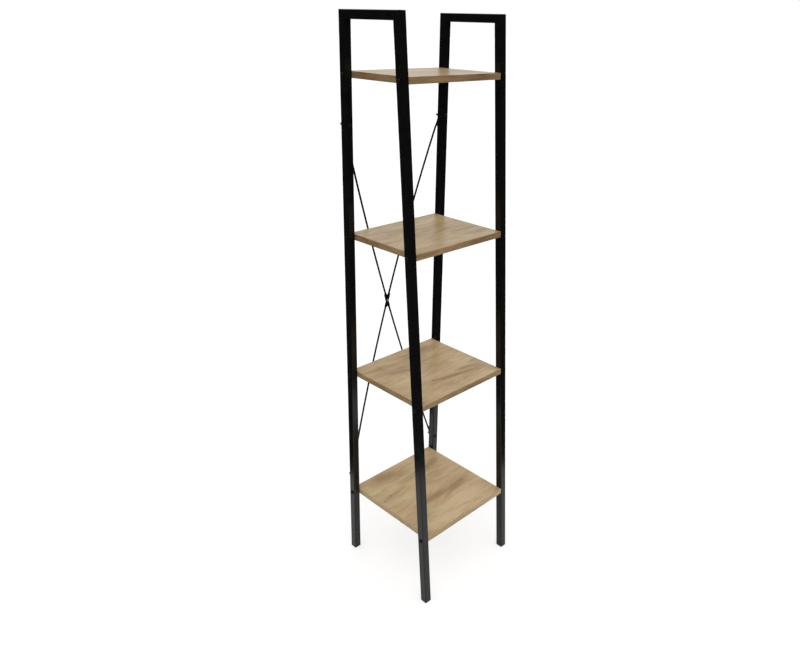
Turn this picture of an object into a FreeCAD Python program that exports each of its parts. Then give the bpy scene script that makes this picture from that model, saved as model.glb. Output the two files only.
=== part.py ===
# Four-tier ladder shelving unit: two welded side frames of square tube, four boards that get
# shallower towards the top, and a pair of crossed brace rods that bow out behind the posts.
# Frame: millimetres, +Z up, +X to the right, the front faces -Y. The origin is on the floor, in the
# middle of the width, and halfway between the front feet and the furthest point of the brace.

import FreeCAD, Part
import math
import os
import re
import Sketcher
from FreeCAD import Placement, Rotation, Vector

# Driving sizes, in millimetres
SIZES = [
    ("overall_width", 340, "over the outer faces of the side frames"),
    ("overall_depth", 320, "over the posts, at the floor"),
    ("overall_height", 1480, "floor to the top of the side frames"),
    ("top_depth", 197, "over the posts, at the top"),
    ("tube_side", 20, "square tube, outside"),
    ("tube_wall", 1.2, "square tube, wall"),
    ("tube_corner", 2, "square tube, outside corner radius"),
    ("foot_height", 4, "foot showing below the tube"),
    ("foot_stem", 16, "foot inside the tube"),
    ("foot_clearance", 0.6, "between the stem and the bore, on each side"),
    ("foot_rib", 1.5, "height of one gripping rib on the stem"),
    ("lowest_shelf", 204, "top of the lowest board above the floor"),
    ("top_drop", 128.5, "top of the highest board below the top of the side frames"),
    ("shelf_thickness", 15, "board"),
    ("shelf_inset", 1, "board edges behind the faces of the posts"),
    ("band_thickness", 0.8, "edge banding"),
    ("bolt_thread", 6, "shelf bolt, thread diameter"),
    ("bolt_reach", 12, "shelf bolt, length inside the board"),
    ("bolt_head_width", 10.5, "shelf bolt"),
    ("bolt_head_height", 3.3, "shelf bolt"),
    ("bolt_socket", 4, "shelf bolt, hexagon key"),
    ("insert_width", 9, "threaded insert, outside diameter"),
    ("insert_length", 13, "threaded insert"),
    ("hole_clearance", 0.5, "a bolt hole is wider than its thread by this"),
    ("brace_rise", 44, "lower brace bolts above the lowest board"),
    ("brace_drop", 118.5, "upper brace bolts below the top of the highest board"),
    ("rod_width", 5, "brace rod, diameter"),
    ("rod_bow", 29, "from the back of the posts to where the bowed rods meet"),
    ("flat_thickness", 2, "brace rod where it is pressed flat"),
    ("flat_width", 9, "brace rod where it is pressed flat"),
    ("flat_length", 20, "from the middle of an eye to the end of its flat"),
    ("press_length", 12, "from an eye's flat to the round rod"),
    ("crossing_press", 8, "from the crossing's flat to the round rod"),
    ("crossing_margin", 1, "spare length of the flat at the crossing, on each side"),
    ("brace_thread", 5, "brace bolt, thread diameter"),
    ("brace_head_width", 9.5, "brace bolt"),
    ("brace_head_height", 2.75, "brace bolt"),
    ("brace_socket", 3, "brace bolt, hexagon key"),
    ("brace_nut_width", 8, "brace nut, across the flats"),
    ("brace_nut_height", 4, "brace nut"),
    ("brace_tail", 7, "brace bolt's end beyond its nut"),
    ("crossing_thread", 4, "crossing screw, thread diameter"),
    ("crossing_head_width", 7.6, "crossing screw"),
    ("crossing_head_height", 2.2, "crossing screw"),
    ("crossing_socket", 2.5, "crossing screw, hexagon key"),
    ("crossing_nut_width", 7, "crossing nut, across the flats"),
    ("crossing_nut_height", 3.2, "crossing nut"),
    ("crossing_tail", 1.5, "crossing screw's end beyond its nut"),
]
SHELVES = ("bottom", "lower", "upper", "top")
SIDES = (("left", -1), ("right", 1))
FOOT_RIBS = 3
EDGE_COUNT = 4

# Shares of a bolt head's height: the bevel round its crown and the socket's depth
BEVEL_SHARE = 0.6
SOCKET_SHARE = 0.6

# Bolts repeat often, so their round forms are drawn with few sides: the shanks, which are out of sight,
# with the holes and inserts round them, and the heads
SHANK_SIDES = 8
HEAD_SIDES = 12

doc = FreeCAD.newDocument("ladder_shelf")
sheet = doc.addObject("Spreadsheet::Sheet", "Sizes")
for row, (alias, size, note) in enumerate(SIZES, start=1):
    sheet.set(f"A{row}", note)
    sheet.set(f"B{row}", str(size))
    sheet.setAlias(f"B{row}", alias)
doc.recompute()

ALIASES = re.compile(r"\b(" + "|".join(alias for alias, size, note in SIZES) + r")\b")
nodes = []


# Formulas are written with the bare names of the sizes

def in_sheet(formula):
    return ALIASES.sub(r"Sizes.\1", str(formula))


def value(formula):
    return float(sheet.evalExpression(in_sheet(formula)))


def bind(thing, name, formula):
    thing.setExpression(name, in_sheet(formula))


def bind_base(thing, x, y, z):
    for axis, formula in zip("xyz", (x, y, z)):
        bind(thing, f"Placement.Base.{axis}", formula)


# Shared places

BRACE_REACH = "(rod_bow + flat_thickness + crossing_nut_height + crossing_tail)"
FRONT = f"(-(overall_depth + {BRACE_REACH}) / 2)"
BACK = f"({FRONT} + overall_depth)"
INNER_SIDE = "(overall_width / 2 - tube_side)"
POST_MIDDLE = "(overall_width / 2 - tube_side / 2)"
SLOPE = "((overall_depth - top_depth) / overall_height)"
ALONG = f"sqrt(1 + {SLOPE}^2)"
BAR_UNDERSIDE = "(overall_height - tube_side)"
HIGHEST_SHELF = "(overall_height - top_drop)"
SHELF_PITCH = f"(({HIGHEST_SHELF} - lowest_shelf) / {len(SHELVES) - 1})"
BRACE_LOW = "(lowest_shelf + brace_rise)"
BRACE_HIGH = f"({HIGHEST_SHELF} - brace_drop)"
BRACE_SPAN = "(overall_width - tube_side)"
BRACE_RISE = f"({BRACE_HIGH} - {BRACE_LOW})"
BRACE_MIDDLE = f"(({BRACE_LOW} + {BRACE_HIGH}) / 2)"
ROD_HALF = f"(sqrt({BRACE_SPAN}^2 + {BRACE_RISE}^2) / 2)"
BOW_RISE = "(rod_bow - rod_width / 2)"
BOW_RADIUS = f"(({ROD_HALF}^2 + {BOW_RISE}^2) / (2 * {BOW_RISE}))"
CROSSING_HALF = (
    f"(flat_width * ({BRACE_SPAN}^2 + {BRACE_RISE}^2) / (2 * {BRACE_SPAN} * {BRACE_RISE})"
    " + crossing_margin)"
)


def front_post_y(offset, height):
    """Y at a height, this far behind the sloping front face of a front post, square to the face."""
    return f"({FRONT} + {SLOPE} * ({height}) + ({offset}) * {ALONG})"


def back_post_y(offset, height):
    """Y this far behind the front face of a back post, which is upright at every height."""
    return f"({BACK} - tube_side + ({offset}))"


def shelf_top(level):
    return f"(lowest_shelf + {level} * {SHELF_PITCH})"


def shelf_middle(level):
    return f"({shelf_top(level)} - shelf_thickness / 2)"


def bolt_places(level):
    """Y and Z of a shelf's two bolts on one side, in the middle of the posts."""
    height = shelf_middle(level)
    return [(post_y("tube_side / 2", height), height) for post_y in (front_post_y, back_post_y)]


# Sketches and features

def new_body(label):
    body = doc.addObject("PartDesign::Body", label)
    body.Label = label
    return body


def new_node(thing):
    nodes.append(thing)
    return thing


def new_sketch(body, plane, offset=None):
    """A sketch on one of the body's own origin planes, or at an offset along its normal."""
    sketch = body.newObject("Sketcher::SketchObject", f"{body.Name}_sketch")
    origin_plane = next(f for f in body.Origin.OriginFeatures if f.Role == plane)
    sketch.AttachmentSupport = [(origin_plane, "")]
    sketch.MapMode = "FlatFace"
    if offset is not None:
        bind(sketch, "AttachmentOffset.Base.z", offset)
    return sketch


def fix_point(sketch, geometry, point, across, up):
    """Dimensions one point of the sketch from the sketch's origin."""
    for kind, formula in (("DistanceX", across), ("DistanceY", up)):
        constraint = Sketcher.Constraint(kind, -1, 1, geometry, point, value(formula))
        bind(sketch, f"Constraints[{sketch.addConstraint(constraint)}]", formula)


def draw_lines(sketch, corners):
    """An open chain of lines with every corner dimensioned."""
    points = [Vector(value(across), value(up), 0) for across, up in corners]
    lines = []
    for start, end in zip(points, points[1:]):
        lines.append(sketch.addGeometry(Part.LineSegment(start, end), False))
    for line, following in zip(lines, lines[1:]):
        sketch.addConstraint(Sketcher.Constraint("Coincident", line, 2, following, 1))
    for line, (across, up) in zip(lines, corners):
        fix_point(sketch, line, 1, across, up)
    fix_point(sketch, lines[-1], 2, *corners[-1])
    return lines


def draw_polygon(sketch, corners):
    lines = draw_lines(sketch, corners)
    last, first = lines[-1], lines[0]
    closing = Part.LineSegment(sketch.getPoint(last, 2), sketch.getPoint(first, 1))
    line = sketch.addGeometry(closing, False)
    sketch.addConstraint(Sketcher.Constraint("Coincident", last, 2, line, 1))
    sketch.addConstraint(Sketcher.Constraint("Coincident", line, 2, first, 1))


def draw_rectangle(sketch, low_across, high_across, low_up, high_up):
    draw_polygon(sketch, [(low_across, low_up), (high_across, low_up),
                          (high_across, high_up), (low_across, high_up)])


def draw_circle(sketch, across, up, diameter):
    center = Vector(value(across), value(up), 0)
    circle = sketch.addGeometry(Part.Circle(center, Vector(0, 0, 1), value(diameter) / 2), False)
    fix_point(sketch, circle, 3, across, up)
    constraint = Sketcher.Constraint("Diameter", circle, value(diameter))
    bind(sketch, f"Constraints[{sketch.addConstraint(constraint)}]", diameter)


def draw_regular(sketch, sides, across_corners, across="0", up="0"):
    """A regular polygon with an even number of sides and a flat on each side of the upright axis."""
    corners = []
    for step in range(sides):
        angle = math.pi * (2 * step + 1) / sides
        corners.append((f"({across}) + {math.cos(angle):.6f} * ({across_corners}) / 2",
                        f"({up}) + {math.sin(angle):.6f} * ({across_corners}) / 2"))
    draw_polygon(sketch, corners)


def draw_shank(sketch, width, across="0", up="0"):
    """A shank, or what grips it, with its corners on the real circle."""
    draw_regular(sketch, SHANK_SIDES, width, across, up)


def draw_hole(sketch, width, across="0", up="0"):
    """A hole with its flats on the real circle, so that a shank turned any way clears it."""
    draw_regular(sketch, SHANK_SIDES, f"({width}) / {math.cos(math.pi / SHANK_SIDES):.6f}", across, up)


def draw_hexagon(sketch, across_flats):
    draw_regular(sketch, 6, f"({across_flats}) * 2 / sqrt(3)")


def pad(body, sketch, length, symmetric=False, backwards=False):
    feature = body.newObject("PartDesign::Pad", f"{body.Name}_pad")
    feature.Profile = sketch
    feature.SideType = "Symmetric" if symmetric else "One side"
    feature.Reversed = backwards
    bind(feature, "Length", length)
    doc.recompute()
    return feature


def pocket(body, sketch, length=None, backwards=False):
    """Cuts to a depth from the sketch or, with no length, right through on both sides of it."""
    before = body.Shape.Volume
    feature = body.newObject("PartDesign::Pocket", f"{body.Name}_pocket")
    feature.Profile = sketch
    feature.Reversed = backwards
    if length is None:
        feature.SideType = "Symmetric"
        feature.Type = "ThroughAll"
    else:
        bind(feature, "Length", length)
    doc.recompute()
    if not body.Shape.Volume < before:
        raise RuntimeError(f"a cut in {body.Label} removes nothing")
    return feature


def loft(body, first, second):
    feature = body.newObject("PartDesign::AdditiveLoft", f"{body.Name}_loft")
    feature.Profile = first
    feature.Sections = [second]
    feature.Ruled = True
    doc.recompute()


def round_edges(body, feature, edges, radius):
    fillet = body.newObject("PartDesign::Fillet", f"{body.Name}_fillet")
    fillet.Base = (feature, edges)
    bind(fillet, "Radius", radius)
    doc.recompute()
    return fillet


def edge_names(shape, measure, count):
    """The names of the edges that measure most."""
    order = sorted(range(len(shape.Edges)), key=lambda i: measure(shape.Edges[i]), reverse=True)
    return [f"Edge{i + 1}" for i in order[:count]]


# Side frames

def tube(label, x, outline, ends):
    """A length of square tube with the given side outline, open at the two ends named by faces."""
    body = new_node(new_body(label))
    side = new_sketch(body, "YZ_Plane")
    draw_polygon(side, outline)
    bar = pad(body, side, "tube_side", symmetric=True)
    hollow = body.newObject("PartDesign::Thickness", f"{label}_bore")
    hollow.Base = (bar, end_faces(bar.Shape, ends))
    hollow.Reversed = True
    bind(hollow, "Value", "tube_wall")
    doc.recompute()
    corners = edge_names(hollow.Shape, outer_length, EDGE_COUNT)
    round_edges(body, hollow, corners, "tube_corner")
    bind_base(body, x, "0", "0")
    return body


def outer_length(edge):
    """Puts the edges on a tube's two outer sides first, the longest of them before the others."""
    return round(abs(edge.CenterOfMass.x), 3), edge.Length


def end_faces(shape, ends):
    """The faces that hold the middles of the tube's two cut ends."""
    names = []
    for corners in ends:
        points = [Vector(0, value(y), value(z)) for y, z in corners]
        middle = Part.Vertex((points[0] + points[1]) * 0.5)
        gaps = [face.distToShape(middle)[0] for face in shape.Faces]
        names.append(f"Face{gaps.index(min(gaps)) + 1}")
    return names


def drill_for_shelves(body, which):
    side = new_sketch(body, "YZ_Plane")
    for level in range(len(SHELVES)):
        y, z = bolt_places(level)[which]
        draw_hole(side, "bolt_thread + hole_clearance", y, z)
    pocket(body, side)


def drill_for_brace(body):
    front = new_sketch(body, "XZ_Plane")
    for height in (BRACE_LOW, BRACE_HIGH):
        draw_hole(front, "brace_thread + hole_clearance", "0", height)
    pocket(body, front)


def side_frame(side, sign):
    x = f"{sign} * {POST_MIDDLE}"
    front_foot = (front_post_y("0", "foot_height"), "foot_height")
    front_heel = (front_post_y("tube_side", "foot_height"), "foot_height")
    front_corner = (front_post_y("0", "overall_height"), "overall_height")
    front_mitre = (front_post_y("tube_side", BAR_UNDERSIDE), BAR_UNDERSIDE)
    back_foot = (back_post_y("0", "foot_height"), "foot_height")
    back_heel = (back_post_y("tube_side", "foot_height"), "foot_height")
    back_corner = (back_post_y("tube_side", "overall_height"), "overall_height")
    back_mitre = (back_post_y("0", BAR_UNDERSIDE), BAR_UNDERSIDE)

    front_post = tube(f"{side}_front_post", x, [front_foot, front_heel, front_mitre, front_corner],
                      [(front_foot, front_heel), (front_mitre, front_corner)])
    drill_for_shelves(front_post, 0)
    back_post = tube(f"{side}_back_post", x, [back_foot, back_heel, back_corner, back_mitre],
                     [(back_foot, back_heel), (back_corner, back_mitre)])
    drill_for_shelves(back_post, 1)
    drill_for_brace(back_post)
    tube(f"{side}_top_bar", x, [front_corner, front_mitre, back_mitre, back_corner],
         [(front_corner, front_mitre), (back_mitre, back_corner)])


# Feet

def foot(label, x, post_y):
    """A plastic plug: a block that carries on the tube's outline, and a ribbed stem in the bore."""
    body = new_node(new_body(label))

    def slab(inset, width, low, high):
        depth = f"tube_side - ({inset})"
        outline = [(post_y(inset, low), low), (post_y(depth, low), low),
                   (post_y(depth, high), high), (post_y(inset, high), high)]
        sketch = new_sketch(body, "YZ_Plane")
        draw_polygon(sketch, outline)
        return pad(body, sketch, width, symmetric=True)

    block = slab("0", "tube_side", "0", "foot_height")
    corners = edge_names(block.Shape, lambda edge: edge.BoundBox.ZLength, EDGE_COUNT)
    round_edges(body, block, corners, "tube_corner")
    stem_inset = "tube_wall + foot_clearance"
    stem_width = f"tube_side - 2 * ({stem_inset})"
    bore_width = "tube_side - 2 * tube_wall"
    slab(stem_inset, stem_width, "foot_height", "foot_height + foot_stem")
    for rib in range(1, FOOT_RIBS + 1):
        low = f"foot_height + foot_stem * {rib} / {FOOT_RIBS + 1}"
        slab("tube_wall", bore_width, low, f"{low} + foot_rib")
    bind_base(body, x, "0", "0")


# Shelves

def shelf_edges(level, inset):
    """Y of the front and back edges of a shelf, less an inset for the banding."""
    front = f"({front_post_y('0', shelf_middle(level))} + shelf_inset + ({inset}))"
    return front, f"({BACK} - shelf_inset - ({inset}))"


def board(label, level):
    body = new_node(new_body(label))
    plan = new_sketch(body, "XY_Plane", f"{shelf_top(level)} - shelf_thickness")
    front, back = shelf_edges(level, "band_thickness")
    end = f"({INNER_SIDE} - band_thickness)"
    draw_rectangle(plan, f"-{end}", end, front, back)
    pad(body, plan, "shelf_thickness")
    for side, sign in SIDES:
        holes = new_sketch(body, "YZ_Plane", f"{sign} * {end}")
        for y, z in bolt_places(level):
            draw_shank(holes, "insert_width", y, z)
        pocket(body, holes, "insert_length - band_thickness", backwards=sign < 0)


def banding(label, level):
    """Four strips: two along the board, and two across its ends with holes for the inserts."""
    front, back = shelf_edges(level, "0")
    front_core, back_core = shelf_edges(level, "band_thickness")
    low = f"{shelf_top(level)} - shelf_thickness"
    strips = []
    for place, y in (("front", front), ("back", back_core)):
        strip = doc.addObject("Part::Box", f"{label}_{place}")
        bind(strip, "Length", f"2 * {INNER_SIDE}")
        bind(strip, "Width", "band_thickness")
        bind(strip, "Height", "shelf_thickness")
        bind_base(strip, f"-{INNER_SIDE}", y, low)
        strips.append(strip)
    for side, sign in SIDES:
        strip = new_body(f"{label}_{side}")
        outline = new_sketch(strip, "YZ_Plane", f"{sign} * {INNER_SIDE}")
        draw_rectangle(outline, front_core, back_core, low, shelf_top(level))
        for y, z in bolt_places(level):
            draw_shank(outline, "insert_width", y, z)
        pad(strip, outline, "band_thickness", backwards=sign > 0)
        strips.append(strip)
    group = doc.addObject("Part::Compound", label)
    group.Label = label
    group.Links = strips
    new_node(group)


# Fasteners, each drawn once along +Z and then placed

def socket_bolt(label, thread, length, head_width, head_height, socket):
    """A button-headed bolt with a hexagon socket: the underside of the head is at Z = 0."""
    body = new_body(label)
    rim = new_sketch(body, "XY_Plane")
    draw_regular(rim, HEAD_SIDES, head_width)
    head = pad(body, rim, head_height)
    bevel = body.newObject("PartDesign::Chamfer", f"{label}_bevel")
    bevel.Base = (head, edge_names(head.Shape, lambda edge: edge.CenterOfMass.z, HEAD_SIDES))
    bind(bevel, "Size", f"{BEVEL_SHARE} * {head_height}")
    doc.recompute()
    shank = new_sketch(body, "XY_Plane")
    draw_shank(shank, thread)
    pad(body, shank, length, backwards=True)
    key = new_sketch(body, "XY_Plane", head_height)
    draw_hexagon(key, socket)
    pocket(body, key, f"{SOCKET_SHARE} * {head_height}")
    return body


def hexagon_nut(label, thread, across_flats, height):
    body = new_body(label)
    outline = new_sketch(body, "XY_Plane")
    draw_hexagon(outline, across_flats)
    draw_shank(outline, thread)
    pad(body, outline, height)
    return body


def threaded_insert(label):
    body = new_body(label)
    ring = new_sketch(body, "XY_Plane")
    draw_shank(ring, "insert_width")
    draw_shank(ring, "bolt_thread")
    pad(body, ring, "insert_length", backwards=True)
    return body


def facing(direction):
    return Rotation(Vector(0, 0, 1), Vector(*direction))


def place_group(label, piece, places):
    """Copies of one piece as a group, each with its +Z turned to a direction and its own place."""
    copies = []
    for direction, x, y, z in places:
        copy = doc.addObject("App::Link", f"{label}_copy")
        copy.LinkedObject = piece
        copy.Placement = Placement(Vector(), facing(direction))
        bind_base(copy, x, y, z)
        copies.append(copy)
    group = doc.addObject("Part::Compound", label)
    group.Label = label
    group.Links = copies
    new_node(group)


def shelf_fastener_places(level, x):
    places = []
    for side, sign in SIDES:
        for y, z in bolt_places(level):
            places.append(((sign, 0, 0), f"{sign} * ({x})", y, z))
    return places


def brace_places(direction, y):
    places = []
    for side, sign in SIDES:
        for height in (BRACE_LOW, BRACE_HIGH):
            places.append((direction, f"{sign} * {POST_MIDDLE}", y, height))
    return places


# Brace

def brace_rod(label, lean, crossing_face):
    """A bowed round rod along its own X, pressed flat at the crossing and at an eye on each end.

    Its own Y is 0 on the back faces of the posts, where the eyes lie. At the crossing the two rods'
    flats lie face to face, so each has its front at its own Y there.
    """
    body = new_node(new_body(label))

    def round_section(x):
        """A section square to the bow, drawn from the middle of the bow's circle."""
        sketch = new_sketch(body, "YZ_Plane")
        sketch.AttachmentOffset = Placement(Vector(), Rotation(Vector(0, -1, 0), 1))
        bind(sketch, "AttachmentOffset.Base.x", f"rod_bow - {BOW_RADIUS}")
        bind(sketch, "AttachmentOffset.Rotation.Angle", f"asin({x} / {BOW_RADIUS})")
        draw_circle(sketch, BOW_RADIUS, "0", "rod_width")
        return sketch

    def flat_section(x, face):
        sketch = new_sketch(body, "YZ_Plane", x)
        draw_rectangle(sketch, face, f"{face} + flat_thickness", "-flat_width / 2", "flat_width / 2")
        return sketch

    def bowed_run(start, end):
        run = body.newObject("PartDesign::Revolution", f"{label}_run")
        run.Profile = round_section(start)
        run.ReferenceAxis = (run.Profile[0], ["V_Axis"])
        run.Reversed = value(end) > value(start)
        bind(run, "Angle", f"abs(asin({end} / {BOW_RADIUS}) - asin({start} / {BOW_RADIUS}))")
        doc.recompute()

    pad(body, flat_section("0", crossing_face), f"2 * {CROSSING_HALF}", symmetric=True)
    rod_start = f"({CROSSING_HALF} + crossing_press)"
    rod_end = f"({ROD_HALF} - flat_length - press_length)"
    eye_start = f"({ROD_HALF} - flat_length)"
    for sign in (1, -1):
        crossing_end = flat_section(f"{sign} * {CROSSING_HALF}", crossing_face)
        loft(body, crossing_end, round_section(f"{sign} * {rod_start}"))
        bowed_run(f"{sign} * {rod_start}", f"{sign} * {rod_end}")
        loft(body, round_section(f"{sign} * {rod_end}"), flat_section(f"{sign} * {eye_start}", "0"))
        pad(body, flat_section(f"{sign} * {eye_start}", "0"), "flat_length", backwards=sign < 0)
        eye = new_sketch(body, "XZ_Plane")
        draw_circle(eye, f"{sign} * {ROD_HALF}", "0", "flat_width")
        pad(body, eye, "flat_thickness", backwards=True)
    holes = new_sketch(body, "XZ_Plane")
    for sign in (1, -1):
        draw_hole(holes, "brace_thread + hole_clearance", f"{sign} * {ROD_HALF}")
    draw_hole(holes, "crossing_thread + hole_clearance")
    pocket(body, holes)
    body.Placement = Placement(Vector(), Rotation(Vector(0, -lean, 0), 1))
    bind(body, "Placement.Rotation.Angle", f"atan({BRACE_RISE} / {BRACE_SPAN})")
    bind_base(body, "0", BACK, BRACE_MIDDLE)


# The whole unit

for side, sign in SIDES:
    side_frame(side, sign)
    foot(f"{side}_front_foot", f"{sign} * {POST_MIDDLE}", front_post_y)
    foot(f"{side}_back_foot", f"{sign} * {POST_MIDDLE}", back_post_y)

shelf_bolt = socket_bolt("shelf_bolt", "bolt_thread", "tube_side + bolt_reach",
                         "bolt_head_width", "bolt_head_height", "bolt_socket")
shelf_insert = threaded_insert("shelf_insert")
for level, name in enumerate(SHELVES):
    board(f"{name}_shelf_board", level)
    banding(f"{name}_shelf_banding", level)
    place_group(f"{name}_shelf_bolts", shelf_bolt, shelf_fastener_places(level, "overall_width / 2"))
    place_group(f"{name}_shelf_inserts", shelf_insert, shelf_fastener_places(level, INNER_SIDE))

brace_rod("rising_brace_rod", 1, "rod_bow - flat_thickness")
brace_rod("falling_brace_rod", -1, "rod_bow")
brace_bolt = socket_bolt("brace_bolt", "brace_thread",
                         "tube_side + flat_thickness + brace_nut_height + brace_tail",
                         "brace_head_width", "brace_head_height", "brace_socket")
place_group("brace_bolts", brace_bolt, brace_places((0, -1, 0), f"{BACK} - tube_side"))
brace_nut = hexagon_nut("brace_nut", "brace_thread", "brace_nut_width", "brace_nut_height")
place_group("brace_nuts", brace_nut, brace_places((0, 1, 0), f"{BACK} + flat_thickness"))

crossing_bolt = socket_bolt("crossing_bolt", "crossing_thread",
                            "2 * flat_thickness + crossing_nut_height + crossing_tail",
                            "crossing_head_width", "crossing_head_height", "crossing_socket")
place_group("crossing_screw", crossing_bolt,
            [((0, -1, 0), "0", f"{BACK} + rod_bow - flat_thickness", BRACE_MIDDLE)])
crossing_hexagon = hexagon_nut("crossing_hexagon", "crossing_thread",
                               "crossing_nut_width", "crossing_nut_height")
place_group("crossing_nut", crossing_hexagon,
            [((0, 1, 0), "0", f"{BACK} + rod_bow + flat_thickness", BRACE_MIDDLE)])

doc.recompute()
for thing in doc.Objects:
    if {"Invalid", "Error"} & set(thing.State):
        raise RuntimeError(f"{thing.Label} failed: {thing.State}")
for node in nodes:
    if node.Shape.isNull() or not node.Shape.isValid():
        raise RuntimeError(f"{node.Label} has no valid shape")

os.makedirs("parts", exist_ok=True)
for node in nodes:
    node.Shape.exportStep(f"parts/{node.Label}.step")
print(f"{len(nodes)} nodes written")
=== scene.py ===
import math
from typing import NamedTuple

import bmesh
import bpy
from mathutils import Matrix, Vector


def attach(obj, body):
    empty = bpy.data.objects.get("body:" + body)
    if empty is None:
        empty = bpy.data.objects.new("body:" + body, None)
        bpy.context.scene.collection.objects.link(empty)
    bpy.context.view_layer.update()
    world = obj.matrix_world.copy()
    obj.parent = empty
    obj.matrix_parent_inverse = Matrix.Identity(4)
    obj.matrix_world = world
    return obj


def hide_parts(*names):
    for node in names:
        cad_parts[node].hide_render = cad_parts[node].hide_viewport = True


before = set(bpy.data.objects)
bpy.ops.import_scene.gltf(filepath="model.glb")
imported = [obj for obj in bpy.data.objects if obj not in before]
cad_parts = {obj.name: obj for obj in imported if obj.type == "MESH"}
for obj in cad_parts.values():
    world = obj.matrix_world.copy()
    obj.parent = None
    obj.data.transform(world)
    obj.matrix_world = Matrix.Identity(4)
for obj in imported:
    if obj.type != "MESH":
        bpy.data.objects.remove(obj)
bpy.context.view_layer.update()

MM = 0.001
SHELVES = ("top", "upper", "lower", "bottom")
UP = Vector((0.0, 0.0, 1.0))
FORWARD = Vector((0.0, -1.0, 0.0))
BACKWARD = Vector((0.0, 1.0, 0.0))
WHITE = (1.0, 1.0, 1.0, 1.0)

# The camera, from lines of the posts and shelves: place in metres, angles in radians
IMAGE_WIDTH = 800
SENSOR_WIDTH = 36.0
CAMERA_PLACE = Vector((-1.20550, -1.18235, 1.46150))
CAMERA_YAW = 0.8019
CAMERA_PITCH = 0.3993
CAMERA_ROLL = 0.0289
FOCAL_PIXELS = 697.05
CAMERA_SHIFT_X = -0.0437
CAMERA_SHIFT_Y = -0.0125
CLIP_NEAR = 0.05
CLIP_FAR = 300.0

# The studio: light from a pale sky that is brighter overhead and towards the camera, and a roll of
# white paper that runs under the part, away from the camera, with dark cloth on its other sides
SKY_EVEN = 0.56
SKY_OVERHEAD = 0.95
SKY_LEAN = math.radians(35.0)
FLOOR_HALF = 60.0
FLOOR_DROP = 0.0003
FLOOR_ROUGHNESS = 0.9
FLOOR_SPARE = 0.05
PAPER_LEFT = -0.575
PAPER_RIGHT = 0.735
PAPER_FRONT = 0.91
PAPER_EDGE = 0.01
PAPER_SHADE = 0.82
OUTER_SHADE = 0.34
SEEN_SHADE = 0.40
CLOTH_LIFT = 0.001
CLOTH_REACH = 5.0
CLOTH_LENGTH = 12.0
CLOTH_HEIGHT = 4.0
CLOTH_FOLDS = (3.0, 3.0, 0.4)
CLOTH_STOPS = ((0.3, (0.020, 0.020, 0.020)), (0.7, (0.045, 0.045, 0.045)))


# Node helpers
def feed(tree, socket, value):
    """Join a socket to another node's output, or set it to a plain value."""
    if isinstance(value, bpy.types.NodeSocket):
        tree.links.new(value, socket)
    else:
        socket.default_value = value


def add_node(tree, kind, settings=None, inputs=None):
    """Add one node, with its settings and its inputs by name or number."""
    made = tree.nodes.new(kind)
    for name, value in (settings or {}).items():
        setattr(made, name, value)
    for name, value in (inputs or {}).items():
        feed(tree, made.inputs[name], value)
    return made


def maths(tree, operation, first, second=0.0, third=0.0):
    """One step of arithmetic on sockets or numbers."""
    made = add_node(tree, "ShaderNodeMath", {"operation": operation}, {0: first, 1: second, 2: third})
    return made.outputs[0]


def remap(tree, value, low, high, to_low=0.0, to_high=1.0):
    """A smooth step from one range of values to another."""
    made = add_node(
        tree,
        "ShaderNodeMapRange",
        {"interpolation_type": "SMOOTHSTEP"},
        {"Value": value, "From Min": low, "From Max": high, "To Min": to_low, "To Max": to_high},
    )
    return made.outputs["Result"]


def added(tree, tone, pattern, weight):
    """A tone with a pattern about one half laid over it."""
    return maths(tree, "MULTIPLY_ADD", maths(tree, "SUBTRACT", pattern, 0.5), weight, tone)


def mix_numbers(tree, factor, first, second):
    """A number between two others."""
    inputs = {"Factor": factor, "A": first, "B": second}
    return add_node(tree, "ShaderNodeMix", {"data_type": "FLOAT"}, inputs).outputs["Result"]


def mix_colours(tree, factor, first, second):
    """A colour between two others, whose sockets are found by number because their names repeat."""
    made = add_node(tree, "ShaderNodeMix", {"data_type": "RGBA"}, {0: factor, 6: first, 7: second})
    return made.outputs[2]


def dot_product(tree, first, second):
    """How far one direction goes along another."""
    made = add_node(tree, "ShaderNodeVectorMath", {"operation": "DOT_PRODUCT"}, {0: first, 1: second})
    return made.outputs["Value"]


def split(tree, vector):
    """The three numbers of a vector, by axis."""
    return add_node(tree, "ShaderNodeSeparateXYZ", inputs={"Vector": vector}).outputs


def joined(tree, first, second, third):
    """A vector from its three numbers."""
    made = add_node(tree, "ShaderNodeCombineXYZ", inputs={"X": first, "Y": second, "Z": third})
    return made.outputs["Vector"]


def stretched(tree, point, scale, shift=(0.0, 0.0, 0.0)):
    """A point scaled along each axis and moved."""
    made = add_node(tree, "ShaderNodeMapping", inputs={"Vector": point, "Scale": scale, "Location": shift})
    return made.outputs["Vector"]


def noise(tree, point, detail=3.0, roughness=0.5):
    """Soft noise about one half, at one cell for each unit of the point."""
    inputs = {"Vector": point, "Scale": 1.0, "Detail": detail, "Roughness": roughness}
    return add_node(tree, "ShaderNodeTexNoise", inputs=inputs).outputs["Fac"]


def ramp(tree, value, stops):
    """A run of colours: each stop has its place and its colour."""
    made = add_node(tree, "ShaderNodeValToRGB", inputs={"Fac": value})
    elements = made.color_ramp.elements
    while len(elements) < len(stops):
        elements.new(0.5)
    for element, (place, colour) in zip(elements, stops):
        element.position = place
        element.color = (*colour, 1.0)
    return made.outputs["Color"]


def bump(tree, height, distance):
    """Surface relief from a height between 0 and 1."""
    inputs = {"Height": height, "Distance": distance, "Strength": 1.0}
    return add_node(tree, "ShaderNodeBump", inputs=inputs).outputs["Normal"]


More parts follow.
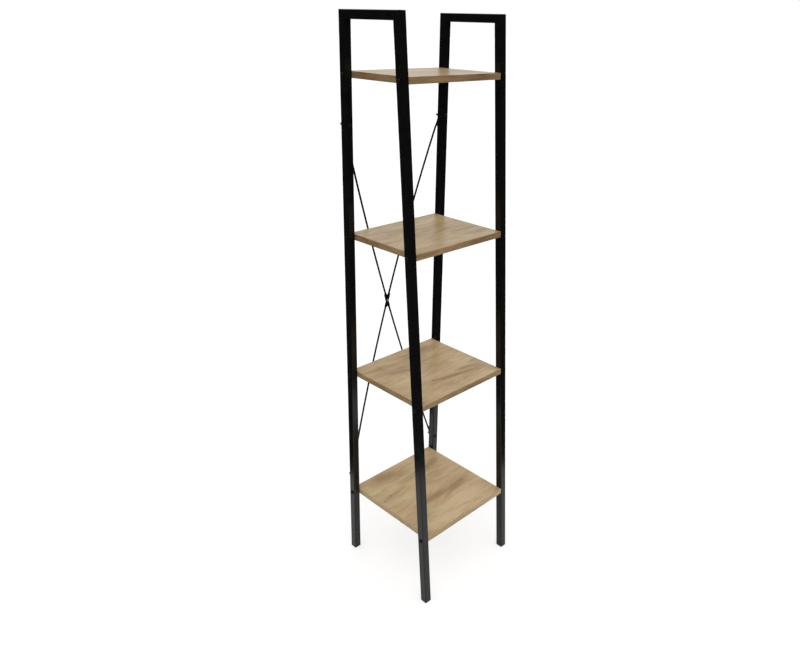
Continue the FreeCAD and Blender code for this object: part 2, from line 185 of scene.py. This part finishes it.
def new_material(name):
    """An empty node material: its tree and its Principled shader."""
    material = bpy.data.materials.new(name)
    material.use_nodes = True
    tree = material.node_tree
    tree.nodes.clear()
    output = add_node(tree, "ShaderNodeOutputMaterial")
    shader = add_node(tree, "ShaderNodeBsdfPrincipled")
    tree.links.new(shader.outputs["BSDF"], output.inputs["Surface"])
    return material, tree, shader


def object_point(tree):
    """The point on the piece in metres, in the frame of the part."""
    return add_node(tree, "ShaderNodeTexCoord").outputs["Object"]


# The oak finish: a warm and a yellow run of tones, and a darker run for the banding
WARM_STOPS = (
    (0.0, (0.178, 0.094, 0.040)),
    (0.3, (0.300, 0.184, 0.087)),
    (0.55, (0.404, 0.268, 0.138)),
    (0.8, (0.490, 0.348, 0.192)),
    (1.0, (0.560, 0.416, 0.246)),
)
YELLOW_STOPS = (
    (0.0, (0.174, 0.099, 0.041)),
    (0.3, (0.296, 0.196, 0.089)),
    (0.55, (0.402, 0.289, 0.141)),
    (0.8, (0.488, 0.372, 0.196)),
    (1.0, (0.556, 0.440, 0.252)),
)
EDGE_STOPS = (
    (0.0, (0.100, 0.053, 0.021)),
    (0.4, (0.216, 0.128, 0.054)),
    (0.7, (0.302, 0.192, 0.088)),
    (1.0, (0.410, 0.277, 0.138)),
)
# The tone of each board and of its banding, the banding's tint, and where the board's yellow patches begin
# The boards' tones are set lighter on the lower shelves: painted light, for the stronger light that reaches
# them
BOARD_TONE_AND_LIGHT = {"top": 0.57, "upper": 0.58, "lower": 0.68, "bottom": 0.74}
# The banding is lighter and paler on the lower boards: painted light from the white floor below
EDGE_TONE_AND_LIGHT = {"top": 0.55, "upper": 0.57, "lower": 0.64, "bottom": 0.86}
EDGE_FLOOR_LIGHT_TINTS = {
    "top": (1.0, 1.0, 1.0),
    "upper": (1.0, 1.0, 1.0),
    "lower": (1.05, 1.15, 1.20),
    "bottom": (1.03, 1.15, 1.25),
}
YELLOW_FROM = {"top": 0.34, "upper": 0.32, "lower": 0.42, "bottom": 0.41}
# Dark streaks in the grain, and pale ones with a negative depth of tone, in millimetres:
# start and end (x, y), half width, depth of tone
STREAKS = {
    "top": (
        ((-140, 40), (80, 56), 14, 0.20),
        ((-40, -30), (149, -18), 12, 0.22),
    ),
    "upper": (
        ((40, -10), (149, -20), 9, 0.30),
        ((-149, 92), (0, 80), 16, 0.22),
        ((-110, 20), (130, 38), 22, 0.16),
        ((-80, -96), (140, -106), 12, 0.16),
        ((-149, -60), (-20, -50), 20, -0.14),
        ((20, 100), (149, 110), 20, -0.10),
    ),
    "lower": (
        ((-62, -44), (149, -92), 13, 0.38),
        ((40, -42), (140, -70), 12, 0.28),
        ((-149, 62), (90, 40), 44, 0.10),
        ((-60, 116), (149, 92), 34, 0.26),
        ((-149, 2), (0, -14), 20, -0.12),
        ((-10, -128), (149, -118), 34, -0.22),
        ((70, -6), (149, -16), 26, -0.14),
    ),
    "bottom": (
        ((-149, -58), (149, -43), 21, 0.44),
        ((-149, 26), (-30, 38), 12, 0.20),
        ((-149, 122), (40, 96), 30, 0.19),
        ((30, 60), (149, 84), 34, 0.26),
        ((-149, -104), (130, -152), 5, 0.24),
        ((-80, 66), (80, 58), 16, 0.16),
        ((-110, -118), (149, -104), 44, -0.36),
        ((-120, -8), (20, -4), 24, -0.16),
        ((-149, -128), (0, -140), 30, -0.26),
    ),
}
# How far a streak wavers in metres, how ragged its sides are, and the shares of its length where it fades
STREAK_WAVER = 0.03
STREAK_RAGGED = -1.2
STREAK_ENTERED = 0.3
STREAK_LEAVES = 0.65
# Small dark knots in millimetres: middle (x, y), half length along the grain, depth of tone
KNOTS = {
    "top": (),
    "upper": ((-52, 58, 7, 0.24),),
    "lower": ((-34, -50, 12, 0.26), (-92, 22, 7, 0.16)),
    "bottom": ((-133, 29, 10, 0.30), (-106, 37, 9, 0.26), (-79, 36, 8, 0.22), (96, -47, 14, 0.16)),
}
KNOT_FLATNESS = 1.8


class Layer(NamedTuple):
    """One layer of noise in the grain: cells for each metre along and across it, their shift and weight."""
    along: float
    across: float
    shift: tuple
    weight: float
    detail: float = 3.0
    roughness: float = 0.5


# The grain: a waver that bends the broad layers, and straight fibres and pores
WAVER = Layer(7.0, 12.0, (0.0, 0.0, 0.0), 0.05, detail=2.0)
BROAD_LAYERS = {
    "patches": Layer(7.0, 17.0, (5.0, 3.0, 0.0), 0.85),
    "bands": Layer(8.0, 46.0, (0.0, 0.0, 0.0), 0.60, roughness=0.6),
    "streaks": Layer(10.0, 165.0, (3.0, 7.0, 0.0), 0.64),
    "flecks": Layer(36.0, 330.0, (1.0, 8.0, 0.0), 0.54, detail=2.0),
}
FIBRES = Layer(15.0, 620.0, (9.0, 1.0, 0.0), 0.44)
PORES = Layer(70.0, 1500.0, (2.0, 4.0, 0.0), -0.16, detail=1.0)
PORE_FAINT = 0.60
PORE_FULL = 0.70
# The patches of hue, the range of the fibres, and the gloss and relief of the boards and the banding
HUE_CELLS = (6.0, 11.0, 1.0)
HUE_SEED = 40.0
HUE_BANDS = 0.4
YELLOW_BLEND = 0.28
FIBRE_LOW = 0.2
FIBRE_HIGH = 0.8
PORE_RELIEF = -0.5
BOARD_GLOSS = (0.31, 0.39)
BOARD_SPECULAR = 0.30
BOARD_RELIEF = 0.00002
EDGE_GLOSS = (0.44, 0.56)
EDGE_RELIEF = 0.00005
END_FACING = 0.5
BOARD_SEED = 1.7
BOARD_SEED_STEP = 3.1
EDGE_SEED = 0.6
EDGE_SEED_STEP = 2.3


def layer_noise(tree, point, layer):
    """The noise of one layer of the grain."""
    cells = stretched(tree, point, (layer.along, layer.across, 1.0), layer.shift)
    return noise(tree, cells, layer.detail, layer.roughness)


def grain(tree, along, across, seed, tone):
    """Oak with its grain along one direction: its tone, and each layer that goes into it, by name."""
    straight = joined(tree, along, across, seed)
    oak = {"waver": layer_noise(tree, straight, WAVER)}
    bent = joined(tree, along, added(tree, across, oak["waver"], WAVER.weight), seed)
    for name, layer in BROAD_LAYERS.items():
        oak[name] = layer_noise(tree, bent, layer)
        tone = added(tree, tone, oak[name], layer.weight)
    oak["fibres"] = layer_noise(tree, straight, FIBRES)
    tone = added(tree, tone, oak["fibres"], FIBRES.weight)
    oak["pores"] = remap(tree, layer_noise(tree, straight, PORES), PORE_FAINT, PORE_FULL)
    oak["tone"] = maths(tree, "MULTIPLY_ADD", oak["pores"], PORES.weight, tone)
    return oak


def streak_tone(tree, oak, along, across, streak):
    """The tone with one soft streak in it, which wavers and fades at both ends."""
    (start_x, start_y), (end_x, end_y), half_width, depth = streak
    length = (end_x - start_x) * MM
    half = half_width * MM
    share = maths(tree, "DIVIDE", maths(tree, "SUBTRACT", along, start_x * MM), length)
    centre = maths(tree, "MULTIPLY_ADD", share, (end_y - start_y) * MM, start_y * MM)
    centre = added(tree, centre, oak["waver"], STREAK_WAVER)
    off = maths(tree, "ABSOLUTE", maths(tree, "SUBTRACT", across, centre))
    off = added(tree, off, oak["flecks"], STREAK_RAGGED * half)
    body = remap(tree, off, 0.0, half, 1.0, 0.0)
    enters = remap(tree, share, 0.0, STREAK_ENTERED)
    leaves = remap(tree, share, STREAK_LEAVES, 1.0, 1.0, 0.0)
    mark = maths(tree, "MULTIPLY", body, maths(tree, "MULTIPLY", enters, leaves))
    return maths(tree, "MULTIPLY_ADD", mark, -depth, oak["tone"])


def knot_tone(tree, oak, along, across, knot):
    """The tone with one small flattened knot in it."""
    middle_x, middle_y, half_length, depth = knot
    aside = maths(tree, "SUBTRACT", along, middle_x * MM)
    above = maths(tree, "MULTIPLY", maths(tree, "SUBTRACT", across, middle_y * MM), KNOT_FLATNESS)
    squares = maths(tree, "MULTIPLY_ADD", above, above, maths(tree, "MULTIPLY", aside, aside))
    mark = remap(tree, maths(tree, "SQRT", squares), 0.0, half_length * MM, 1.0, 0.0)
    return maths(tree, "MULTIPLY_ADD", mark, -depth, oak["tone"])


def oak_surface(tree, shader, oak, gloss, depth):
    """The gloss of the fibres, and the relief of the fibres and pores."""
    feed(tree, shader.inputs["Roughness"], remap(tree, oak["fibres"], FIBRE_LOW, FIBRE_HIGH, *gloss))
    relief = maths(tree, "MULTIPLY_ADD", oak["pores"], PORE_RELIEF, oak["fibres"])
    feed(tree, shader.inputs["Normal"], bump(tree, relief, depth))


def oak_board(shelf, seed):
    """A board's printed oak faces, with the grain from side to side of the unit."""
    material, tree, shader = new_material(f"oak_{shelf}")
    axes = split(tree, object_point(tree))
    along = axes["X"]
    across = axes["Y"]
    # This tone is lighter on the lower boards as painted light
    oak = grain(tree, along, across, seed, BOARD_TONE_AND_LIGHT[shelf])
    for streak in STREAKS[shelf]:
        oak["tone"] = streak_tone(tree, oak, along, across, streak)
    for knot in KNOTS[shelf]:
        oak["tone"] = knot_tone(tree, oak, along, across, knot)
    warm = ramp(tree, oak["tone"], WARM_STOPS)
    yellow = ramp(tree, oak["tone"], YELLOW_STOPS)
    hue = noise(tree, stretched(tree, joined(tree, along, across, seed + HUE_SEED), HUE_CELLS))
    start = YELLOW_FROM[shelf]
    yellowness = remap(tree, added(tree, hue, oak["bands"], HUE_BANDS), start, start + YELLOW_BLEND)
    feed(tree, shader.inputs["Base Color"], mix_colours(tree, yellowness, warm, yellow))
    feed(tree, shader.inputs["Specular IOR Level"], BOARD_SPECULAR)
    oak_surface(tree, shader, oak, BOARD_GLOSS, BOARD_RELIEF)
    return material


def tinted(colour, tint):
    """A colour with each of its parts made stronger or weaker."""
    return tuple(part * strength for part, strength in zip(colour, tint))


def oak_edge(shelf, seed):
    """A board's banding: darker oak with the grain along each strip."""
    material, tree, shader = new_material(f"oak_edge_{shelf}")
    axes = split(tree, object_point(tree))
    facing = add_node(tree, "ShaderNodeNewGeometry").outputs["True Normal"]
    sideways = split(tree, facing)["X"]
    on_end = maths(tree, "GREATER_THAN", maths(tree, "ABSOLUTE", sideways), END_FACING)
    along = mix_numbers(tree, on_end, axes["X"], axes["Y"])
    # The lower bandings' lighter tone and paler tint are painted light from the floor
    oak = grain(tree, along, axes["Z"], seed, EDGE_TONE_AND_LIGHT[shelf])
    stops = [(place, tinted(colour, EDGE_FLOOR_LIGHT_TINTS[shelf])) for place, colour in EDGE_STOPS]
    feed(tree, shader.inputs["Base Color"], ramp(tree, oak["tone"], stops))
    oak_surface(tree, shader, oak, EDGE_GLOSS, EDGE_RELIEF)
    return material


# Paint, plastic and metal: clouds in the tone, and a fine orange peel
CLOUD_CELLS = (60.0, 60.0, 60.0)
CLOUD_DETAIL = 4.0
PEEL_DETAIL = 2.0
PEEL_WEIGHT = 0.5
FINISH_LOW = 0.3
FINISH_HIGH = 0.7
PAINT_DARK = (0.0030, 0.0030, 0.0031)
PAINT_LIGHT = (0.0046, 0.0046, 0.0046)


def coated(name, dark, light, gloss, peel_cells, peel_depth, metallic=0.0, specular=0.5):
    """A thin finish with uneven tone, uneven gloss and a fine orange-peel relief."""
    material, tree, shader = new_material(name)
    point = object_point(tree)
    cloud = noise(tree, stretched(tree, point, CLOUD_CELLS), CLOUD_DETAIL)
    peel = noise(tree, stretched(tree, point, (peel_cells, peel_cells, peel_cells)), PEEL_DETAIL)
    tone = added(tree, cloud, peel, PEEL_WEIGHT)
    feed(tree, shader.inputs["Base Color"], ramp(tree, tone, ((FINISH_LOW, dark), (FINISH_HIGH, light))))
    feed(tree, shader.inputs["Roughness"], remap(tree, cloud, FINISH_LOW, FINISH_HIGH, *gloss))
    feed(tree, shader.inputs["Normal"], bump(tree, peel, peel_depth))
    feed(tree, shader.inputs["Metallic"], metallic)
    feed(tree, shader.inputs["Specular IOR Level"], specular)
    return material


FINISHES = {
    "frame_paint": coated(
        "black_frame_paint", PAINT_DARK, PAINT_LIGHT, gloss=(0.17, 0.21),
        peel_cells=900.0, peel_depth=0.000004, specular=0.26,
    ),
    "brace_paint": coated(
        "black_brace_paint", PAINT_DARK, PAINT_LIGHT, gloss=(0.46, 0.54),
        peel_cells=900.0, peel_depth=0.000006, specular=0.16,
    ),
    "fastener": coated(
        "black_fastener", (0.0040, 0.0040, 0.0042), (0.0070, 0.0070, 0.0070), gloss=(0.46, 0.56),
        peel_cells=1500.0, peel_depth=0.000006, specular=0.24,
    ),
    "crossing_fastener": coated(
        "bright_zinc", (0.62, 0.62, 0.60), (0.74, 0.74, 0.72), gloss=(0.40, 0.52),
        peel_cells=1200.0, peel_depth=0.000004, metallic=1.0,
    ),
    "insert": coated(
        "zinc_insert", (0.40, 0.38, 0.34), (0.52, 0.50, 0.46), gloss=(0.30, 0.42),
        peel_cells=1200.0, peel_depth=0.000006, metallic=1.0,
    ),
    "foot_plastic": coated(
        "black_foot_plastic", (0.006, 0.006, 0.006), (0.010, 0.010, 0.010), gloss=(0.42, 0.52),
        peel_cells=1400.0, peel_depth=0.000015,
    ),
}
for level, shelf in enumerate(SHELVES):
    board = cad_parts[f"{shelf}_shelf_board"]
    board.data.materials[0] = oak_board(shelf, BOARD_SEED + BOARD_SEED_STEP * level)
    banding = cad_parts[f"{shelf}_shelf_banding"]
    banding.data.materials[0] = oak_edge(shelf, EDGE_SEED + EDGE_SEED_STEP * level)
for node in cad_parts.values():
    slot_name = node.data.materials[0].name
    if slot_name in FINISHES:
        node.data.materials[0] = FINISHES[slot_name]


# Bolts and nuts, finer than the solids that they stand for
class Bolt(NamedTuple):
    """The sizes of a button-headed bolt, in metres."""
    thread: float
    length: float
    head_width: float
    head_height: float
    socket: float
    threaded: float
    pitch: float


class Nut(NamedTuple):
    """The sizes of a hexagon nut, in metres."""
    thread: float
    width: float
    height: float


SHELF_BOLT = Bolt(
    thread=6.0 * MM, length=32.0 * MM, head_width=10.5 * MM, head_height=3.3 * MM,
    socket=4.0 * MM, threaded=12.0 * MM, pitch=1.0 * MM,
)
BRACE_BOLT = Bolt(
    thread=5.0 * MM, length=33.0 * MM, head_width=9.5 * MM, head_height=2.75 * MM,
    socket=3.0 * MM, threaded=12.0 * MM, pitch=0.8 * MM,
)
CROSSING_SCREW = Bolt(
    thread=4.0 * MM, length=8.7 * MM, head_width=7.6 * MM, head_height=2.2 * MM,
    socket=2.5 * MM, threaded=5.0 * MM, pitch=0.7 * MM,
)
BRACE_NUT = Nut(thread=5.0 * MM, width=8.0 * MM, height=4.0 * MM)
CROSSING_NUT = Nut(thread=4.0 * MM, width=7.0 * MM, height=3.2 * MM)
BOLT_SIDES = 48
DOME_STEPS = 7
CHAMFER_STEPS = 4
THREAD_STEPS = 6
HEX_HALF = math.radians(30.0)
SHARP_ANGLE = math.radians(32.0)
SAME_POINT = 1e-6
# Shares of the pitch: a thread's depth, its run-out and the taper of its tip
THREAD_DEPTH = 0.55
THREAD_RUNOUT = 0.2
TIP_TAPER = 0.8
# The easing of a head's corners in metres, then shares of its height, its radius and the socket's width
HEAD_EASE = 0.2 * MM
HEAD_EDGE = 0.06
HEAD_RIM = 0.16
HEAD_CROWN = 0.56
SOCKET_FLARE = 1.10
SOCKET_LIP = 0.94
SOCKET_FLOOR = 0.40
SOCKET_POINT = 0.28
POINT_WIDTH = 0.12
# A nut's round face as a share of its width, and the bevel of its bore
NUT_FACE = 0.475
NUT_BEVEL = 0.3 * MM


def circle(radius):
    """The same radius at every angle."""
    return lambda angle: radius


def hexagon(width, limit=math.inf):
    """The radius of a hexagon at each angle, from its width across the flats, cut to a round limit."""
    return lambda angle: min(0.5 * width / math.cos(angle % (2.0 * HEX_HALF) - HEX_HALF), limit)


def thread_turn(place, radius, pitch, limit):
    """The radius of a screw thread at each angle, at one place along it."""
    depth = THREAD_DEPTH * pitch

    def radius_at(angle):
        """The radius at one angle, which follows the thread round."""
        phase = (place / pitch + angle / (2.0 * math.pi)) % 1.0
        return min(radius - depth * abs(2.0 * phase - 1.0), limit)

    return radius_at


def turned(mesh, base, axis, rings, hollow=False):
    """Add a closed form to a mesh: each ring has its place along the axis and its radius by angle."""
    other = axis.cross(UP)
    rows = []
    for place, radius_at in rings:
        row = []
        for step in range(BOLT_SIDES):
            angle = 2.0 * math.pi * step / BOLT_SIDES
            out = radius_at(angle) * (math.cos(angle) * UP + math.sin(angle) * other)
            row.append(mesh.verts.new(base + place * axis + out))
        rows.append(row)
    pairs = list(zip(rows, rows[1:]))
    if hollow:
        pairs.append((rows[-1], rows[0]))
    else:
        mesh.faces.new(rows[0])
        mesh.faces.new(rows[-1])
    for first, second in pairs:
        for step in range(BOLT_SIDES):
            after = (step + 1) % BOLT_SIDES
            mesh.faces.new((first[step], first[after], second[after], second[step]))


def bolt_rings(bolt):
    """A button-headed bolt: the underside of its head is at 0 and its shank runs backwards."""
    radius = bolt.thread / 2.0
    rings = []
    steps = round(bolt.threaded / bolt.pitch * THREAD_STEPS)
    for step in range(steps + 1):
        place = -bolt.length + bolt.threaded * step / steps
        tip = radius - TIP_TAPER * bolt.pitch + (place + bolt.length)
        rings.append((place, thread_turn(place, radius, bolt.pitch, tip)))
    rings.append((-bolt.length + bolt.threaded + THREAD_RUNOUT * bolt.pitch, circle(radius)))
    rings.append((-HEAD_EASE, circle(radius)))
    head = bolt.head_width / 2.0
    height = bolt.head_height
    crown = HEAD_CROWN * head
    rim = HEAD_RIM * height
    rings.append((0.0, circle(radius + HEAD_EASE)))
    rings.append((0.0, circle(head - HEAD_EASE)))
    rings.append((HEAD_EDGE * height, circle(head)))
    for step in range(DOME_STEPS + 1):
        turn = math.pi / 2.0 * step / DOME_STEPS
        out = crown + (head - crown) * math.cos(turn)
        rings.append((rim + (height - rim) * math.sin(turn), circle(out)))
    rings.append((height, hexagon(SOCKET_FLARE * bolt.socket)))
    rings.append((SOCKET_LIP * height, hexagon(bolt.socket)))
    rings.append((SOCKET_FLOOR * height, hexagon(bolt.socket)))
    rings.append((SOCKET_POINT * height, circle(POINT_WIDTH * bolt.socket)))
    return rings


def nut_rings(nut):
    """A hexagon nut with both faces chamfered: it lies from 0 to its height."""
    bore = nut.thread / 2.0
    face = NUT_FACE * nut.width
    slant = math.tan(HEX_HALF)
    chamfer = (0.5 * nut.width / math.cos(HEX_HALF) - face) * slant
    rings = [(NUT_BEVEL, circle(bore)), (0.0, circle(bore + NUT_BEVEL))]
    for step in range(CHAMFER_STEPS + 1):
        place = chamfer * step / CHAMFER_STEPS
        rings.append((place, hexagon(nut.width, face + place / slant)))
    for step in range(CHAMFER_STEPS, -1, -1):
        place = chamfer * step / CHAMFER_STEPS
        rings.append((nut.height - place, hexagon(nut.width, face + place / slant)))
    rings.append((nut.height, circle(bore + NUT_BEVEL)))
    rings.append((nut.height - NUT_BEVEL, circle(bore)))
    return rings


def islands(node):
    """The middle and the lowest and highest corners of each separate solid of a node."""
    mesh = bmesh.new()
    mesh.from_mesh(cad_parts[node].data)
    bmesh.ops.remove_doubles(mesh, verts=mesh.verts, dist=SAME_POINT)
    waiting = set(mesh.verts)
    found = []
    while waiting:
        to_visit = [waiting.pop()]
        members = []
        while to_visit:
            corner = to_visit.pop()
            members.append(corner.co.copy())
            for edge in corner.link_edges:
                beyond = edge.other_vert(corner)
                if beyond in waiting:
                    waiting.remove(beyond)
                    to_visit.append(beyond)
        low = Vector(min(point[axis] for point in members) for axis in range(3))
        high = Vector(max(point[axis] for point in members) for axis in range(3))
        found.append(((low + high) / 2.0, low, high))
    mesh.free()
    return sorted(found, key=lambda solid: tuple(solid[0]))


def sideways_places(node, head_height):
    """Where the heads of a node's sideways bolts begin, and the way that each faces."""
    places = []
    for middle, low, high in islands(node):
        outward = math.copysign(1.0, middle.x)
        face = high.x - head_height if outward > 0.0 else low.x + head_height
        places.append((Vector((face, middle.y, middle.z)), Vector((outward, 0.0, 0.0))))
    return places


def lengthways_places(node, axis, head_height=0.0):
    """Where the heads of a node's bolts, or its nuts, begin, and the way that each faces."""
    places = []
    for middle, low, _ in islands(node):
        places.append((Vector((middle.x, low.y + head_height, middle.z)), axis))
    return places


def fastener_piece(name, node, places, rings, slot_name, hollow=False):
    """Replace a node's fasteners by finer ones: each place has a point and an outward direction."""
    mesh = bmesh.new()
    for base, axis in places:
        turned(mesh, base, axis, rings, hollow)
    bmesh.ops.recalc_face_normals(mesh, faces=mesh.faces)
    data = bpy.data.meshes.new(name)
    mesh.to_mesh(data)
    mesh.free()
    data.shade_smooth()
    data.set_sharp_from_angle(angle=SHARP_ANGLE)
    data.materials.append(FINISHES[slot_name])
    made = bpy.data.objects.new(name, data)
    bpy.context.scene.collection.objects.link(made)
    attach(made, "root")
    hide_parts(node)


def bolt_piece(name, node, bolt, slot_name):
    """Replace a node's bolts whose heads face the front."""
    places = lengthways_places(node, FORWARD, bolt.head_height)
    fastener_piece(name, node, places, bolt_rings(bolt), slot_name)


def nut_piece(name, node, nut, slot_name):
    """Replace a node's nuts on bolts that run to the back."""
    fastener_piece(name, node, lengthways_places(node, BACKWARD), nut_rings(nut), slot_name, hollow=True)


for shelf in SHELVES:
    shelf_bolts = f"{shelf}_shelf_bolts"
    places = sideways_places(shelf_bolts, SHELF_BOLT.head_height)
    fastener_piece(f"{shelf}_shelf_button_bolts", shelf_bolts, places, bolt_rings(SHELF_BOLT), "fastener")
bolt_piece("brace_button_bolts", "brace_bolts", BRACE_BOLT, "fastener")
nut_piece("brace_hexagon_nuts", "brace_nuts", BRACE_NUT, "fastener")
bolt_piece("crossing_button_screw", "crossing_screw", CROSSING_SCREW, "crossing_fastener")
nut_piece("crossing_hexagon_nut", "crossing_nut", CROSSING_NUT, "crossing_fastener")


# The studio
def stage_mesh(name, points, faces, material):
    """One object of the studio, which isn't part of the unit."""
    mesh = bpy.data.meshes.new(name)
    mesh.from_pydata(points, [], faces)
    mesh.materials.append(material)
    made = bpy.data.objects.new(name, mesh)
    bpy.context.scene.collection.objects.link(made)
    return made


def seen_directly(tree):
    """One where a ray comes from the camera or a reflection, and nought where it carries light."""
    path = add_node(tree, "ShaderNodeLightPath")
    seen = maths(tree, "MAXIMUM", path.outputs["Is Camera Ray"], path.outputs["Is Glossy Ray"])
    return maths(tree, "MAXIMUM", seen, path.outputs["Is Transmission Ray"])


def camera_right():
    """The level direction to the right of the camera, across the paper roll."""
    return Vector((math.cos(CAMERA_YAW), -math.sin(CAMERA_YAW), 0.0))


def camera_ahead():
    """The level direction away from the camera, along the paper roll."""
    return Vector((math.sin(CAMERA_YAW), math.cos(CAMERA_YAW), 0.0))


def make_floor():
    """A pale floor, lightest on the paper roll, that looks white and keeps the part's shadow."""
    material, tree, shader = new_material("pale_floor")
    aside = dot_product(tree, object_point(tree), camera_right())
    middle = (PAPER_LEFT + PAPER_RIGHT) / 2.0
    half_width = (PAPER_RIGHT - PAPER_LEFT) / 2.0
    off = maths(tree, "ABSOLUTE", maths(tree, "SUBTRACT", aside, middle))
    paper = remap(tree, off, half_width - PAPER_EDGE, half_width + PAPER_EDGE, PAPER_SHADE, OUTER_SHADE)
    from_camera = add_node(tree, "ShaderNodeLightPath").outputs["Is Camera Ray"]
    shade = mix_numbers(tree, from_camera, paper, SEEN_SHADE)
    feed(tree, shader.inputs["Base Color"], shade)
    feed(tree, shader.inputs["Roughness"], FLOOR_ROUGHNESS)
    feed(tree, shader.inputs["Specular IOR Level"], 0.0)
    feed(tree, shader.inputs["Emission Color"], WHITE)
    rest = maths(tree, "SUBTRACT", 1.0 + FLOOR_SPARE, shade)
    feed(tree, shader.inputs["Emission Strength"], maths(tree, "MULTIPLY", rest, seen_directly(tree)))
    half = FLOOR_HALF
    corners = ((-half, -half), (half, -half), (half, half), (-half, half))
    points = [(x, y, -FLOOR_DROP) for x, y in corners]
    stage_mesh("floor", points, [(0, 1, 2, 3)], material)


def make_cloths():
    """Dark cloth on the floor and hung at each side of the paper roll, which shows in reflections only."""
    material, tree, shader = new_material("studio_cloth")
    folds = noise(tree, stretched(tree, object_point(tree), CLOTH_FOLDS))
    feed(tree, shader.inputs["Base Color"], ramp(tree, folds, CLOTH_STOPS))
    feed(tree, shader.inputs["Roughness"], 1.0)
    feed(tree, shader.inputs["Specular IOR Level"], 0.0)
    sides = (
        ("left", -camera_right(), -PAPER_LEFT),
        ("right", camera_right(), PAPER_RIGHT),
        ("front", -camera_ahead(), PAPER_FRONT),
    )
    for name, outward, near in sides:
        lengthwise = CLOTH_LENGTH / 2.0 * UP.cross(outward)
        low = CLOTH_LIFT * UP
        far = CLOTH_REACH * outward
        points = []
        for place in (near * outward + low, far + low, far + CLOTH_HEIGHT * UP):
            points.append(place - lengthwise)
            points.append(place + lengthwise)
        made = stage_mesh(f"studio_cloth_{name}", points, [(0, 1, 3, 2), (2, 3, 5, 4)], material)
        made.visible_camera = False
        made.visible_diffuse = False
        made.visible_shadow = False
        made.visible_transmission = False
        made.visible_volume_scatter = False


def make_world():
    """A pale sky that is uneven as light, and plain white where it is seen."""
    world = bpy.data.worlds.new("studio")
    bpy.context.scene.world = world
    world.use_nodes = True
    tree = world.node_tree
    tree.nodes.clear()
    direction = add_node(tree, "ShaderNodeTexCoord").outputs["Generated"]
    brightest = math.cos(SKY_LEAN) * UP - math.sin(SKY_LEAN) * camera_ahead()
    towards = dot_product(tree, direction, brightest)
    light = maths(tree, "MULTIPLY_ADD", maths(tree, "MAXIMUM", towards, 0.0), SKY_OVERHEAD, SKY_EVEN)
    strength = mix_numbers(tree, seen_directly(tree), light, 1.0)
    sky = add_node(tree, "ShaderNodeBackground", inputs={"Color": WHITE, "Strength": strength})
    output = add_node(tree, "ShaderNodeOutputWorld")
    tree.links.new(sky.outputs["Background"], output.inputs["Surface"])


def make_camera():
    """The camera at the photograph's place and angle."""
    ahead = Vector((math.sin(CAMERA_YAW) * math.cos(CAMERA_PITCH),
                    math.cos(CAMERA_YAW) * math.cos(CAMERA_PITCH),
                    -math.sin(CAMERA_PITCH)))
    level_right = camera_right()
    level_up = level_right.cross(ahead)
    right = math.cos(CAMERA_ROLL) * level_right + math.sin(CAMERA_ROLL) * level_up
    up = math.cos(CAMERA_ROLL) * level_up - math.sin(CAMERA_ROLL) * level_right
    data = bpy.data.cameras.new("camera")
    data.sensor_width = SENSOR_WIDTH
    data.lens = FOCAL_PIXELS * SENSOR_WIDTH / IMAGE_WIDTH
    data.shift_x = CAMERA_SHIFT_X
    data.shift_y = CAMERA_SHIFT_Y
    data.clip_start = CLIP_NEAR
    data.clip_end = CLIP_FAR
    camera = bpy.data.objects.new("camera", data)
    turn = Matrix((right, up, -ahead)).transposed().to_4x4()
    camera.matrix_world = Matrix.Translation(CAMERA_PLACE) @ turn
    bpy.context.scene.collection.objects.link(camera)
    bpy.context.scene.camera = camera


make_floor()
make_cloths()
make_world()
make_camera()
bpy.context.scene.view_settings.view_transform = "Standard"
